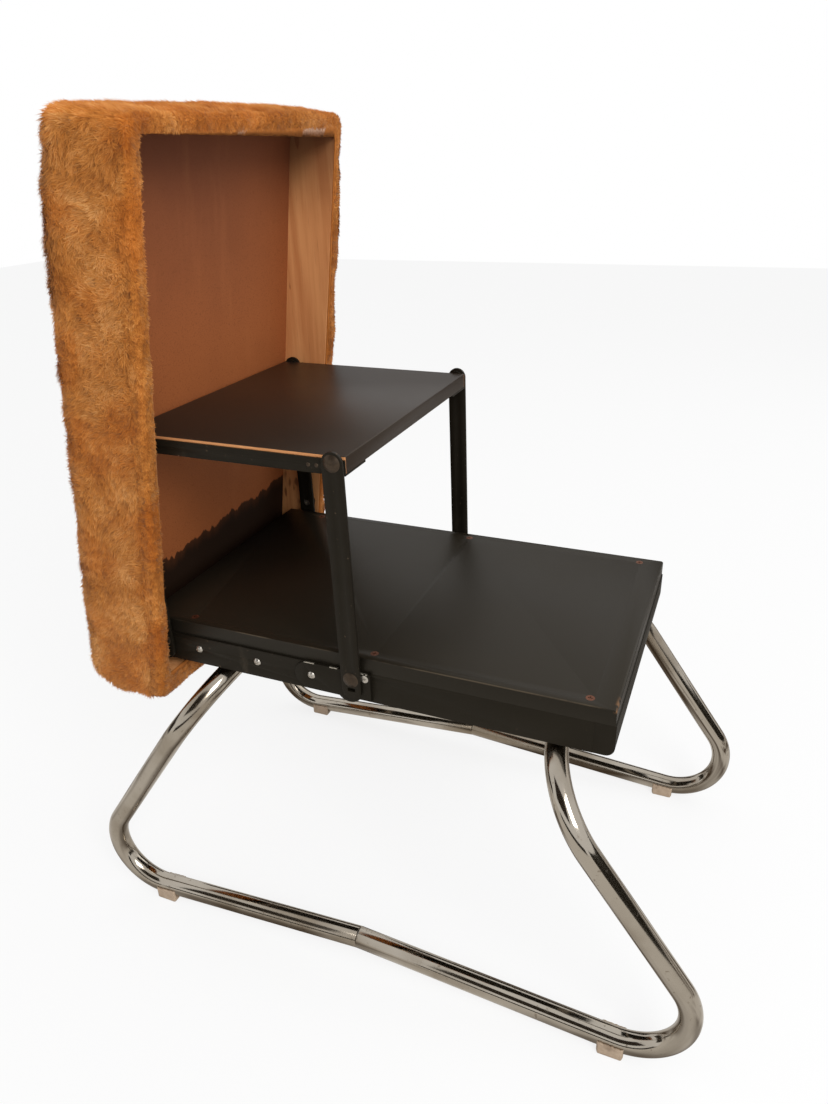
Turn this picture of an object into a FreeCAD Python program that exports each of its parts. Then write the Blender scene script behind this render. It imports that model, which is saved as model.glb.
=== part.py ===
# Folding step stool chair, shown open as steps. Millimetres, +Z up, -Y is the front.
# The origin is on the floor under the middle of the overall box.
import FreeCAD, Part
import math
import os
import re
import sys

SIZES = {
    # bent tube frame
    "tube_diameter": 22,
    "tube_wall": 1.5,
    "runner_half_span": 192,
    "corner_reach_front": 388.6,
    "corner_reach_rear": 383.8,
    "corner_height": 4.2,
    "runner_rise": 28.9,
    "joint_place": 10.7,
    "floor_bend_front": 60,
    "floor_bend_rear": 55.7,
    "top_bend_radius": 80,
    "cross_tube_front": 175.6,
    "cross_tube_rear": 173.4,
    "plug_length": 40,
    "plug_bend": 30,
    "plug_fit": 0.15,
    "tube_fit": 0.05,
    # floor feet, clipped on the runners
    "foot_length": 28,
    "foot_width": 26,
    "foot_lip": 0.5,
    "foot_round": 1.5,
    "foot_front_place": 259.6,
    "foot_rear_place": 260.4,
    # lower step, which is the base that everything hangs on
    "base_width": 300,
    "base_front": 229.6,
    "base_rear": 258.2,
    "base_height": 362.9,
    "board_thickness": 16,
    "board_nose_radius": 2.5,
    "rail_height": 33,
    "rail_thickness": 18,
    "rail_nose_radius": 9,
    "front_rail_proud": 1,
    "cross_rail_width": 60,
    "board_screw_inset": 11,
    "board_screw_front": 204.6,
    "board_screw_pitch": 205,
    "board_screw_count": 3,
    "board_screw_length": 30,
    # saddles that hold the cross tubes
    "saddle_play": 14,
    "saddle_width": 16,
    "saddle_sheet": 1.5,
    "saddle_flange": 15,
    "saddle_screw_length": 20,
    # steel strip and pivot bracket on each side of the base
    "strip_thickness": 2,
    "strip_height": 31,
    "strip_lead": 19,
    "strip_screw_near": 45,
    "strip_screw_middle": 108,
    "strip_screw_far": 178,
    "bracket_thickness": 2,
    "bracket_height": 30,
    "bracket_reach": 48,
    "bracket_lobe_radius": 14,
    "bracket_lobe_drop": 14,
    "bracket_lobe_back": 4,
    "bracket_lift": 0.5,
    "bracket_screw_lead": 13,
    "bracket_screw_rise": 2,
    "strip_screw_drop": 30.1,
    "strip_screw_length": 14,
    # fold linkage
    "pivot_front": 18.4,
    "pivot_drop": 23.1,
    "pivot_spacing": 217,
    "link_setback": 3.6,
    "link_width": 20,
    "link_thickness": 3,
    "link_play": 0.3,
    "link_tail": 12,
    "link_window_width": 8,
    "link_window_height": 4,
    "link_window_drop": 11,
    "pin_radius": 4,
    "pin_clearance": 0.05,
    "pin_depth": 14,
    "rivet_head_radius": 8,
    "rivet_head_height": 2.6,
    "collar_radius": 7,
    "side_gap": 0.1,
    # upper step
    "step_rise": 199.3,
    "step_play": 1.3,
    "step_thickness": 15,
    "step_nose_radius": 1.2,
    "step_pivot_drop": 5.2,
    "step_front_overhang": 10.3,
    "step_rear_overhang": 8.9,
    "angle_sheet": 2,
    "angle_leg": 14,
    "angle_shelf": 40,
    "angle_ear_radius": 7.5,
    "angle_screw_pitch": 8,
    "angle_screw_place": 17,
    "angle_screw_radius": 2,
    "angle_screw_length": 12,
    "angle_screw_rise": 5,
    # seat box, in its own directions from the rear pivots
    "box_lean": 7.5,
    "box_play": 5.7,
    "box_wall": 8,
    "box_low": 37.5,
    "box_high": 474,
    "box_rim": 8,
    "box_back": 47,
    "panel_thickness": 5,
    "link_screw_low": 33,
    "link_screw_high": 150,
    "link_screw_length": 14,
    "spacer_radius": 8,
    # upholstery
    "foam_edge": 22,
    "foam_crown": 35,
    "foam_inset": 2,
    "plush_side": 10,
    "plush_top": 9,
    "plush_bottom": 20,
    "plush_rim": 5,
    "plush_back": 7,
    "plush_round": 12,
    "crown_reach": 60,
    "crown_reach_top": 100,
    "rim_corner": 14,
    "shoulder_corner": 16,
    "crown_corner": 42,
    "cushion_bow": 2,
    "soft_gap": 0.4,
    # screws
    "screw_radius": 1.8,
    "screw_head_radius": 4,
    "screw_head_height": 2,
    "slot_width": 0.9,
    "slot_depth": 0.7,
}
# Sizes that follow from the ones above.
FOLLOWING = {
    "saddle_place": "runner_half_span - top_bend_radius - saddle_play",
    "pivot_height": "base_height - pivot_drop",
    "strip_screw_height": "base_height - strip_screw_drop",
    "step_height": "base_height + step_rise",
    "link_inner": "base_width / 2 + strip_thickness + bracket_thickness + link_play",
    "step_width": "2 * (link_inner - step_play - angle_sheet)",
    "box_half_width": "link_inner + link_thickness + box_play",
}

X_AXIS = FreeCAD.Vector(1, 0, 0)
Y_AXIS = FreeCAD.Vector(0, 1, 0)
Z_AXIS = FreeCAD.Vector(0, 0, 1)
TURNS = {
    "x": FreeCAD.Rotation(Y_AXIS, 90),
    "-x": FreeCAD.Rotation(Y_AXIS, -90),
    "y": FreeCAD.Rotation(X_AXIS, -90),
    "-y": FreeCAD.Rotation(X_AXIS, 90),
    "z": FreeCAD.Rotation(),
    "-z": FreeCAD.Rotation(X_AXIS, 180),
}

doc = FreeCAD.newDocument("step_stool")
sheet = doc.addObject("Spreadsheet::Sheet", "sizes")
for row, (name, number) in enumerate((SIZES | FOLLOWING).items(), start=1):
    sheet.set(f"A{row}", name)
    sheet.set(f"B{row}", f"={number}" if name in FOLLOWING else str(number))
    sheet.setAlias(f"B{row}", name)
doc.recompute()
size = {name: float(sheet.get(name)) for name in SIZES | FOLLOWING}
nodes = []


def formula(text):
    """Point every size name in the text at the sheet."""
    return re.sub(r"[a-z][a-z_]+", lambda m: "sizes." * (m.group() in size) + m.group(), str(text))


def bind(thing, **formulas):
    for prop, text in formulas.items():
        thing.setExpression(prop, formula(text))


def put(thing, at):
    for letter, text in zip("xyz", at):
        thing.setExpression("Placement.Base." + letter, formula(text))


def node(thing, label):
    thing.Label = label
    nodes.append(thing)
    return thing


def body(name, placement=None):
    made = doc.addObject("PartDesign::Body", name)
    if placement is not None:
        made.Placement = placement
    return made


def block(owner, x, y, z, cut=False):
    """Add or cut a box; each side is a pair: where it starts, how long it is."""
    kind = "SubtractiveBox" if cut else "AdditiveBox"
    made = owner.newObject(f"PartDesign::{kind}", "block")
    bind(made, Length=x[1], Width=y[1], Height=z[1])
    put(made, (x[0], y[0], z[0]))
    return made


def barrel(owner, at, radius, length, along, cut=False):
    """Add or cut a round bar that starts at a point and runs along an axis."""
    kind = "SubtractiveCylinder" if cut else "AdditiveCylinder"
    made = owner.newObject(f"PartDesign::{kind}", "barrel")
    bind(made, Radius=radius, Height=length)
    made.Placement = FreeCAD.Placement(FreeCAD.Vector(), TURNS[along])
    put(made, at)
    return made


def flare(owner, at, wide, narrow, length, along, cut=False):
    """Add or cut a cone, from the wide end at a point to the narrow end."""
    kind = "SubtractiveCone" if cut else "AdditiveCone"
    made = owner.newObject(f"PartDesign::{kind}", "flare")
    bind(made, Radius1=wide, Radius2=narrow, Height=length)
    made.Placement = FreeCAD.Placement(FreeCAD.Vector(), TURNS[along])
    put(made, at)
    return made


def dome(owner, at, radius, height, along):
    """Add a spherical cap that stands on a point."""
    made = owner.newObject("PartDesign::AdditiveSphere", "dome")
    ball = f"(({radius})^2 + ({height})^2) / (2 * ({height}))"
    bind(made, Radius=ball, Angle1=f"asin(({ball} - ({height})) / ({ball}))")
    axis = TURNS[along].multVec(Z_AXIS)
    made.Placement = FreeCAD.Placement(FreeCAD.Vector(), TURNS[along])
    sunk = [f"{text} - ({direction}) * ({ball} - ({height}))"
            for text, direction in zip(at, (round(axis.x), round(axis.y), round(axis.z)))]
    put(made, sunk)
    return made


def soften(owner, radius, chosen):
    """Round the edges of the body's last shape that the test picks."""
    doc.recompute()
    last = owner.Tip
    names = [f"Edge{n}" for n, edge in enumerate(last.Shape.Edges, start=1) if chosen(edge)]
    made = owner.newObject("PartDesign::Fillet", "soften")
    made.Base = (last, names)
    bind(made, Radius=radius)
    return made


def upright(edge):
    box = edge.BoundBox
    return box.ZLength > max(box.XLength, box.YLength)


def together(label, pieces):
    made = doc.addObject("Part::Compound", label)
    made.Links = pieces
    return node(made, label)


def flat_screw(name, at, along, length):
    """A countersunk screw with its head flush at a point, a slot across it and its shank along an axis."""
    made = body(name)
    flare(made, at, "screw_head_radius", "screw_radius", "screw_head_height", along)
    barrel(made, at, "screw_radius", length, along)
    cross_slots(made, at, along)
    return made


def cross_slots(owner, at, along):
    """Cut a cross recess from the face of a screw head, to one side along an axis."""
    letter = along[-1]
    backward = "-" in along
    for wide in (0, 1):
        sides = []
        flat_axes = [name for name in "xyz" if name != letter]
        for name, middle in zip("xyz", at):
            if name == letter:
                start = f"{middle} - slot_depth" if backward else middle
                sides.append((start, "slot_depth"))
            else:
                long = flat_axes.index(name) == wide
                reach = "screw_head_radius * 1.1" if long else "slot_width"
                sides.append((f"{middle} - ({reach}) / 2", reach))
        block(owner, *sides, cut=True)


def round_screw(name, at, outward, length):
    """A screw with a domed head standing outward from a point and its shank the other way."""
    inward = outward[1:] if "-" in outward else "-" + outward
    made = body(name)
    dome(made, at, "screw_head_radius", "screw_head_height", outward)
    barrel(made, at, "screw_radius", length, inward)
    shift = "-" if "-" in outward else "+"
    top = [f"{text} {shift} screw_head_height" if letter == outward[-1] else text
           for letter, text in zip("xyz", at)]
    cross_slots(made, top, inward)
    return made


def screw_hole(owner, at, along, length, sunk=False):
    """Clear a screw's shank, and its countersunk head, along an axis."""
    if sunk:
        flare(owner, at, "screw_head_radius + pin_clearance", "screw_radius + pin_clearance",
              "screw_head_height", along, cut=True)
    barrel(owner, at, "screw_radius + pin_clearance", length, along, cut=True)


SIDES = {"left": "-1", "right": "1"}

# Bent tube frame: each half is one tube, from runner joint to runner joint over the base's cross tube.
tube_radius = size["tube_diameter"] / 2
cross_height = size["base_height"] - size["board_thickness"] - size["rail_height"] - tube_radius
middle_height = size["corner_height"] + size["runner_rise"]


def rounded_path(points, radii):
    """Straight runs joined by tangent arcs."""
    edges = []
    start = points[0]
    for before, corner, after, radius in zip(points, points[1:], points[2:], radii):
        back = (before - corner).normalize()
        ahead = (after - corner).normalize()
        half = back.getAngle(ahead) / 2
        reach = radius / math.tan(half)
        first = corner + back * reach
        last = corner + ahead * reach
        inward = (back + ahead).normalize()
        crest = corner + inward * (radius / math.sin(half) - radius)
        edges.append(Part.LineSegment(start, first).toShape())
        edges.append(Part.Arc(first, crest, last).toShape())
        start = last
    edges.append(Part.LineSegment(start, points[-1]).toShape())
    return Part.Wire(edges)


def swept(path, radius):
    first = path.Edges[0]
    ring = Part.Circle(first.Vertexes[0].Point, first.tangentAt(first.FirstParameter), radius)
    return path.makePipeShell([Part.Wire([ring.toShape()])], True, False)


def half_path(sign, reach, cross_place, bend):
    """The centre line of one half frame; sign is -1 for the front half and 1 for the rear one."""
    span = size["runner_half_span"]
    joint = size["joint_place"]
    overrun = tube_radius
    slope = size["runner_rise"] / (reach - sign * joint)
    corners = []
    for side in (-1, 1):
        middle = FreeCAD.Vector(side * span, joint - sign * overrun, middle_height + slope * overrun)
        floor = FreeCAD.Vector(side * span, sign * reach, size["corner_height"])
        top = FreeCAD.Vector(side * span, sign * cross_place, cross_height)
        corners.append([middle, floor, top])
    points = corners[0] + corners[1][::-1]
    radii = [bend, size["top_bend_radius"]]
    return rounded_path(points, radii + radii[::-1])


def beyond_joint(sign, room):
    """A big box on one side of the joint in the runners."""
    start = size["joint_place"] if sign > 0 else size["joint_place"] - room
    return Part.makeBox(room, room, room, FreeCAD.Vector(-room / 2, start, -room / 2))


tube_spaces = {}
for end, sign in (("front", -1), ("rear", 1)):
    reach = size[f"corner_reach_{end}"]
    path = half_path(sign, reach, size[f"cross_tube_{end}"], size[f"floor_bend_{end}"])
    outside = swept(path, tube_radius)
    inside = swept(path, tube_radius - size["tube_wall"])
    tube = doc.addObject("Part::Feature", f"{end}_leg_tube")
    tube.Shape = outside.cut(inside).common(beyond_joint(sign, 4 * reach))
    node(tube, f"{end}_leg_tube")
    tube_spaces[end] = doc.addObject("Part::Feature", f"{end}_tube_space")
    tube_spaces[end].Shape = swept(path, tube_radius + size["tube_fit"])


def joint_plug(side):
    """A short bent bar inside both tube ends of one runner."""
    bore = tube_radius - size["tube_wall"] - size["plug_fit"]
    middle = FreeCAD.Vector(side * size["runner_half_span"], size["joint_place"], middle_height)
    ends = []
    for end, sign in (("front", -1), ("rear", 1)):
        reach = size[f"corner_reach_{end}"] - sign * size["joint_place"]
        outward = FreeCAD.Vector(0, sign * reach, -size["runner_rise"]).normalize()
        ends.append(middle + outward * size["plug_length"])
    return swept(rounded_path([ends[0], middle, ends[1]], [size["plug_bend"]]), bore)


plugs = doc.addObject("Part::Feature", "runner_joint_plugs")
plugs.Shape = Part.makeCompound([joint_plug(side) for side in (-1, 1)])
node(plugs, "runner_joint_plugs")

# Feet: saddles clipped on the runners from below, flat on the floor.
for end, sign in (("front", "-1"), ("rear", "1")):
    place = f"foot_{end}_place"
    reach = f"corner_reach_{end}"
    tube_height = f"(corner_height + runner_rise * ({reach} - {place}) / ({reach} - {sign} * joint_place))"
    for side, hand in SIDES.items():
        label = f"foot_{end}_{side}"
        blank = body(f"{label}_blank")
        block(blank, x=(f"{hand} * runner_half_span - foot_width / 2", "foot_width"),
              y=(f"{sign} * {place} - foot_length / 2", "foot_length"),
              z=("0", f"{tube_height} + foot_lip"))
        soften(blank, "foot_round", lambda edge: edge.CenterOfMass.z < 1 or upright(edge))
        foot = doc.addObject("Part::Cut", label)
        foot.Base = blank
        foot.Tool = tube_spaces[end]
        node(foot, label)

# Lower step: a laminated board on wooden rails.
under_board = "(base_height - board_thickness)"
under_rail = "(base_height - board_thickness - rail_height)"
board_screw_rows = [f"(-board_screw_front + board_screw_pitch * {n})"
                    for n in range(int(size["board_screw_count"]))]
board_screw_side = "(base_width / 2 - board_screw_inset)"

strip_screw_places = [f"(pivot_front + strip_screw_{which})" for which in ("near", "middle", "far")]
bracket_screw_spot = ("(pivot_front - bracket_screw_lead)", "(pivot_height + bracket_screw_rise)")

board = body("base_board")
block(board, x=("-base_width / 2", "base_width"), y=("-base_front", "base_front + base_rear"),
      z=(under_board, "board_thickness"))
soften(board, "board_nose_radius", lambda edge: edge.BoundBox.XLength > size["base_width"] / 2
       and edge.CenterOfMass.y < 0 and edge.CenterOfMass.z > size["base_height"] - 1)
for hand in SIDES.values():
    for row in board_screw_rows:
        at = (f"{hand} * {board_screw_side}", row, "base_height")
        screw_hole(board, at, "-z", "board_thickness", sunk=True)
node(board, "base_board")

for side, hand in SIDES.items():
    rail = body(f"side_rail_{side}")
    block(rail, x=(f"{hand} * (base_width - rail_thickness) / 2 - rail_thickness / 2", "rail_thickness"),
          y=("-base_front + rail_thickness", "base_front + base_rear - rail_thickness"),
          z=(under_rail, "rail_height"))
    for row in board_screw_rows:
        screw_hole(rail, (f"{hand} * {board_screw_side}", row, under_board), "-z",
                   "board_screw_length - board_thickness + pin_clearance")
    inward = "x" if hand == "-1" else "-x"
    for place in ("pivot_front", "(pivot_front + pivot_spacing)"):
        barrel(rail, (f"{hand} * base_width / 2", place, "pivot_height"), "pin_radius + pin_clearance",
               "pin_depth + side_gap", inward, cut=True)
    for place in strip_screw_places:
        screw_hole(rail, (f"{hand} * base_width / 2", place, "strip_screw_height"), inward,
                   "strip_screw_length")
    screw_hole(rail, (f"{hand} * base_width / 2", *bracket_screw_spot), inward, "strip_screw_length")
    node(rail, f"side_rail_{side}")

front_rail = body("front_rail")
block(front_rail, x=("-base_width / 2", "base_width"), z=(under_rail, "rail_height"),
      y=("-base_front - front_rail_proud", "rail_thickness + front_rail_proud"))
rail_foot = cross_height + tube_radius + size["front_rail_proud"]
soften(front_rail, "rail_nose_radius", lambda edge: edge.BoundBox.XLength > size["base_width"] / 2
       and edge.CenterOfMass.y < -size["base_front"] and edge.CenterOfMass.z < rail_foot)
node(front_rail, "front_rail")

rear_rail = body("rear_rail")
block(rear_rail, x=("-base_width / 2 + rail_thickness", "base_width - 2 * rail_thickness"),
      y=("base_rear - rail_thickness", "rail_thickness"), z=(under_rail, "rail_height"))
node(rear_rail, "rear_rail")

# Cross rails carry the frame's cross tubes in sheet steel saddles.
saddles = []
saddle_screws = []
for end, middle in (("front", "-cross_tube_front"), ("rear", "cross_tube_rear")):
    rail = body(f"{end}_cross_rail")
    block(rail, x=("-base_width / 2 + rail_thickness", "base_width - 2 * rail_thickness"),
          y=(f"{middle} - cross_rail_width / 2", "cross_rail_width"), z=(under_rail, "rail_height"))
    outer = "(tube_diameter / 2 + tube_fit + saddle_sheet)"
    inner = "(tube_diameter / 2 + tube_fit)"
    axis_height = f"({under_rail} - tube_diameter / 2)"
    for side, hand in SIDES.items():
        saddle = body(f"{end}_saddle_{side}")
        left = f"({hand} * saddle_place - saddle_width / 2)"
        barrel(saddle, (left, middle, axis_height), outer, "saddle_width", "x")
        block(saddle, x=(left, "saddle_width"), y=(f"{middle} - {outer}", f"2 * {outer}"),
              z=(axis_height, "tube_diameter / 2"))
        block(saddle, x=(left, "saddle_width"),
              y=(f"{middle} - {outer} - saddle_flange", f"2 * ({outer} + saddle_flange)"),
              z=(f"{under_rail} - saddle_sheet", "saddle_sheet"))
        barrel(saddle, (left, middle, axis_height), inner, "saddle_width", "x", cut=True)
        block(saddle, x=(left, "saddle_width"), y=(f"{middle} - {inner}", f"2 * {inner}"),
              z=(axis_height, "tube_diameter / 2"), cut=True)
        block(saddle, x=(left, "saddle_width"), y=(f"{middle} - {outer}", f"2 * {outer}"),
              z=(under_rail, outer), cut=True)
        for reach in ("-1", "1"):
            spot = f"({middle} + {reach} * ({outer} + saddle_flange / 2))"
            at = (f"{hand} * saddle_place", spot, f"{under_rail} - saddle_sheet")
            screw_hole(saddle, at, "z", "saddle_sheet")
            screw_hole(rail, (at[0], spot, under_rail), "z", "saddle_screw_length")
            saddle_screws.append(round_screw("saddle_screw", at, "-z", "saddle_screw_length"))
        saddles.append(saddle)
    node(rail, f"{end}_cross_rail")
together("tube_saddles", saddles)
together("saddle_screws", saddle_screws)

board_screw_places = [(f"{hand} * {board_screw_side}", row, "base_height")
                      for hand in SIDES.values() for row in board_screw_rows]
together("board_screws", [flat_screw("board_screw", at, "-z", "board_screw_length")
                          for at in board_screw_places])

# Steel strip, pivot bracket, rivets and screws on each side of the base.
strip_screws = []
front_rivets = []
rear_rivets = []
strip_low = f"({under_board} - strip_height)"
bracket_low = f"({under_board} + bracket_lift - bracket_height)"
bracket_face = "(base_width / 2 + strip_thickness + bracket_thickness)"
strip_face = "(base_width / 2 + strip_thickness)"
rear_pivot = "(pivot_front + pivot_spacing)"
rivet_face = "(link_inner + link_thickness + side_gap)"
for side, hand in SIDES.items():
    outward = "-x" if hand == "-1" else "x"
    inward = "x" if hand == "-1" else "-x"

    def sheet_x(inner, thickness):
        return (f"{hand} * ({inner} + {thickness} / 2) - {thickness} / 2", thickness)

    strip = body(f"side_strip_{side}")
    block(strip, x=sheet_x("base_width / 2", "strip_thickness"), z=(strip_low, "strip_height"),
          y=("pivot_front - strip_lead", "strip_lead - pivot_front + base_rear"))
    bracket = body(f"pivot_bracket_{side}")
    bracket_x = sheet_x(strip_face, "bracket_thickness")
    block(bracket, x=bracket_x, y=("pivot_front - strip_lead", "strip_lead + bracket_reach"),
          z=(bracket_low, "bracket_height"))
    near_face = (f"{hand} * {strip_face}", "pivot_front + bracket_reach",
                 f"{bracket_low} + bracket_height / 2")
    barrel(bracket, near_face, "bracket_height / 2", "bracket_thickness", outward)
    barrel(bracket, (near_face[0], "pivot_front + bracket_lobe_back", "pivot_height - bracket_lobe_drop"),
           "bracket_lobe_radius", "bracket_thickness", outward)
    for place in ("pivot_front", rear_pivot):
        for sheet_piece in (strip, bracket) if place == "pivot_front" else (strip,):
            barrel(sheet_piece, (f"{hand} * {bracket_face}", place, "pivot_height"),
                   "pin_radius + pin_clearance", "strip_thickness + bracket_thickness", inward, cut=True)
    for place, face in zip(strip_screw_places, (bracket_face, strip_face, strip_face)):
        at = (f"{hand} * {face}", place, "strip_screw_height")
        for sheet_piece in (strip, bracket) if face == bracket_face else (strip,):
            screw_hole(sheet_piece, at, inward, "strip_thickness + bracket_thickness")
        strip_screws.append(round_screw("strip_screw", at, outward, "strip_screw_length"))
    flush = (f"{hand} * {bracket_face}", *bracket_screw_spot)
    screw_hole(strip, flush, inward, "strip_thickness + bracket_thickness")
    screw_hole(bracket, flush, inward, "strip_thickness + bracket_thickness", sunk=True)
    strip_screws.append(flat_screw("bracket_screw", flush, inward, "strip_screw_length"))
    node(strip, f"side_strip_{side}")
    node(bracket, f"pivot_bracket_{side}")

    shank_start = f"{hand} * (base_width / 2 - pin_depth)"
    for rivets, place, seat_face in (
        (front_rivets, "pivot_front", bracket_face),
        (rear_rivets, rear_pivot, strip_face),
    ):
        rivet = body("base_rivet")
        barrel(rivet, (shank_start, place, "pivot_height"), "pin_radius",
               f"{rivet_face} - base_width / 2 + pin_depth", outward)
        dome(rivet, (f"{hand} * {rivet_face}", place, "pivot_height"), "rivet_head_radius",
             "rivet_head_height", outward)
        barrel(rivet, (f"{hand} * {seat_face}", place, "pivot_height"), "collar_radius",
               f"link_inner - side_gap - {seat_face}", outward)
        rivets.append(rivet)
together("strip_screws", strip_screws)
together("base_front_rivets", front_rivets)
together("base_rear_rivets", rear_rivets)

# Upper step: a laminated board between two steel angles with ears at the pivots.
step_pivot_height = "(step_height - step_pivot_drop)"
step_front_pivot = "(pivot_front + link_setback)"
step_rear_pivot = "(pivot_front + link_setback + pivot_spacing)"
step_start = f"({step_front_pivot} - step_front_overhang)"
step_length = "(step_front_overhang + pivot_spacing + step_rear_overhang)"
under_step = "(step_height - step_thickness)"
angle_face = "(step_width / 2 + angle_sheet)"
angle_screw_places = []
for end, away in ((step_front_pivot, "+"), (step_rear_pivot, "-")):
    for count in (0, 1):
        angle_screw_places.append(f"({end} {away} (angle_screw_place + angle_screw_pitch * {count}))")
angle_screw_height = f"({under_step} + angle_screw_rise)"

step = body("step_board")
block(step, x=("-step_width / 2", "step_width"), y=(step_start, step_length),
      z=(under_step, "step_thickness"))
soften(step, "step_nose_radius", lambda edge: edge.BoundBox.XLength > size["base_width"] / 2
       and edge.CenterOfMass.z > size["step_height"] - 1)
step_screws = []
step_front_rivets = []
step_rear_rivets = []
for side, hand in SIDES.items():
    outward = "-x" if hand == "-1" else "x"
    inward = "x" if hand == "-1" else "-x"
    angle = body(f"step_angle_{side}")
    leg_x = (f"{hand} * (step_width / 2 + angle_sheet / 2) - angle_sheet / 2", "angle_sheet")
    block(angle, x=leg_x, y=(step_start, step_length), z=(f"{under_step} - angle_sheet", "angle_leg"))
    block(angle, x=(f"{hand} * ({angle_face} - angle_shelf / 2) - angle_shelf / 2", "angle_shelf"),
          y=(step_start, step_length), z=(f"{under_step} - angle_sheet", "angle_sheet"))
    for place in (step_front_pivot, step_rear_pivot):
        barrel(angle, (f"{hand} * step_width / 2", place, step_pivot_height), "angle_ear_radius",
               "angle_sheet", outward)
    for place in (step_front_pivot, step_rear_pivot):
        barrel(angle, (f"{hand} * step_width / 2", place, step_pivot_height), "pin_radius + pin_clearance",
               "angle_sheet", outward, cut=True)
    for place in angle_screw_places:
        at = (f"{hand} * {angle_face}", place, angle_screw_height)
        hole = "angle_screw_radius * 0.6 + pin_clearance"
        barrel(angle, at, hole, "angle_sheet", inward, cut=True)
        barrel(step, at, hole, "angle_screw_length + side_gap", inward, cut=True)
        screw = body("angle_screw")
        dome(screw, at, "angle_screw_radius", "angle_screw_radius * 0.4", outward)
        barrel(screw, at, "angle_screw_radius * 0.6", "angle_screw_length", inward)
        step_screws.append(screw)
    node(angle, f"step_angle_{side}")
    for rivets, place in ((step_front_rivets, step_front_pivot), (step_rear_rivets, step_rear_pivot)):
        rivet = body("step_rivet")
        barrel(rivet, (f"{hand} * step_width / 2", place, step_pivot_height), "pin_radius",
               f"{rivet_face} - step_width / 2", outward)
        barrel(rivet, (f"{hand} * {angle_face}", place, step_pivot_height), "collar_radius",
               f"link_inner - side_gap - {angle_face}", outward)
        dome(rivet, (f"{hand} * {rivet_face}", place, step_pivot_height), "rivet_head_radius",
             "rivet_head_height", outward)
        rivets.append(rivet)
node(step, "step_board")
together("step_screws", step_screws)
together("step_front_rivets", step_front_rivets)
together("step_rear_rivets", step_rear_rivets)

# Links: flat bars between base and upper step; the rear pair is screwed to the seat box.
link_rise = f"({step_pivot_height} - pivot_height)"
link_length = f"sqrt(link_setback^2 + {link_rise}^2)"
rise = size["step_height"] - size["step_pivot_drop"] - size["pivot_height"]
link_turn = FreeCAD.Rotation(X_AXIS, -math.degrees(math.atan2(size["link_setback"], rise)))
link_screws = []
link_spacers = []
box_turn = FreeCAD.Rotation(X_AXIS, size["box_lean"])
seat_origin = FreeCAD.Vector(0, size["pivot_front"] + size["pivot_spacing"], size["pivot_height"])
seat_place = FreeCAD.Placement(seat_origin, box_turn)


def link(label, hand, foot_place, screwed):
    """A flat bar, upright in its own directions, from its lower pivot to its upper one."""
    made = body(label)
    start = f"{hand} * (link_inner + link_thickness / 2) - link_thickness / 2"
    x = (start, "link_thickness")
    block(made, x=x, y=("-link_width / 2", "link_width"), z=("-link_tail", f"link_tail + {link_length}"))
    for middle in ("-link_tail", link_length):
        barrel(made, (start, "0", middle), "link_width / 2", "link_thickness", "x")
    for middle in ("0", link_length):
        barrel(made, (start, "0", middle), "pin_radius + pin_clearance", "link_thickness", "x", cut=True)
    block(made, x=x, y=("-link_window_width / 2", "link_window_width"),
          z=("-link_window_drop - link_window_height / 2", "link_window_height"), cut=True)
    inner_face = f"{hand} * link_inner"
    outward = "-x" if hand == "-1" else "x"
    for height in ("link_screw_low", "link_screw_high") if screwed else ():
        screw_hole(made, (inner_face, "0", height), outward, "link_thickness", sunk=True)
    made.Placement = FreeCAD.Placement(FreeCAD.Vector(0, foot_place, size["pivot_height"]), link_turn)
    return node(made, label)


for side, hand in SIDES.items():
    link(f"front_link_{side}", hand, size["pivot_front"], screwed=False)
for side, hand in SIDES.items():
    link(f"rear_link_{side}", hand, size["pivot_front"] + size["pivot_spacing"], screwed=True)
    outward = "-x" if hand == "-1" else "x"
    for height in ("link_screw_low", "link_screw_high"):
        screw = flat_screw("link_screw", (f"{hand} * link_inner", "0", height), outward, "link_screw_length")
        screw.Placement = FreeCAD.Placement(seat_origin, link_turn)
        link_screws.append(screw)
        spacer = body("link_spacer")
        barrel(spacer, (f"{hand} * (link_inner + link_thickness)", "0", height), "spacer_radius",
               "box_half_width - link_inner - link_thickness", outward)
        barrel(spacer, (f"{hand} * (link_inner + link_thickness)", "0", height),
               "screw_radius + pin_clearance", "box_half_width - link_inner - link_thickness", outward,
               cut=True)
        spacer.Placement = FreeCAD.Placement(seat_origin, link_turn)
        link_spacers.append(spacer)
together("link_screws", link_screws)
together("link_spacers", link_spacers)

# Seat box, built upright from the rear pivots and then leaned forward:
# +z runs up the box, +y towards its upholstered back, -y towards its open rim.
box_length = "(box_low + box_high + 2 * box_wall)"
lean_from_link = box_turn.inverted().multiply(link_turn)
for side, hand in SIDES.items():
    wall = body(f"box_wall_{side}", seat_place)
    block(wall, x=(f"{hand} * (box_half_width + box_wall / 2) - box_wall / 2", "box_wall"),
          y=("-box_rim", "box_rim + box_back"), z=("-box_low - box_wall", box_length))
    outward = "-x" if hand == "-1" else "x"
    for height in ("link_screw_low", "link_screw_high"):
        spot = lean_from_link.multVec(FreeCAD.Vector(0, 0, 1))
        at = (f"{hand} * box_half_width", f"{height} * {spot.y}", f"{height} * {spot.z}")
        screw_hole(wall, at, outward, "link_screw_length + link_inner - box_half_width + pin_clearance")
    node(wall, f"box_wall_{side}")
for label, start in (("box_wall_rear", "-box_low - box_wall"), ("box_wall_front", "box_high")):
    wall = body(label, seat_place)
    block(wall, x=("-box_half_width", "2 * box_half_width"), y=("-box_rim", "box_rim + box_back"),
          z=(start, "box_wall"))
    node(wall, label)

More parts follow.
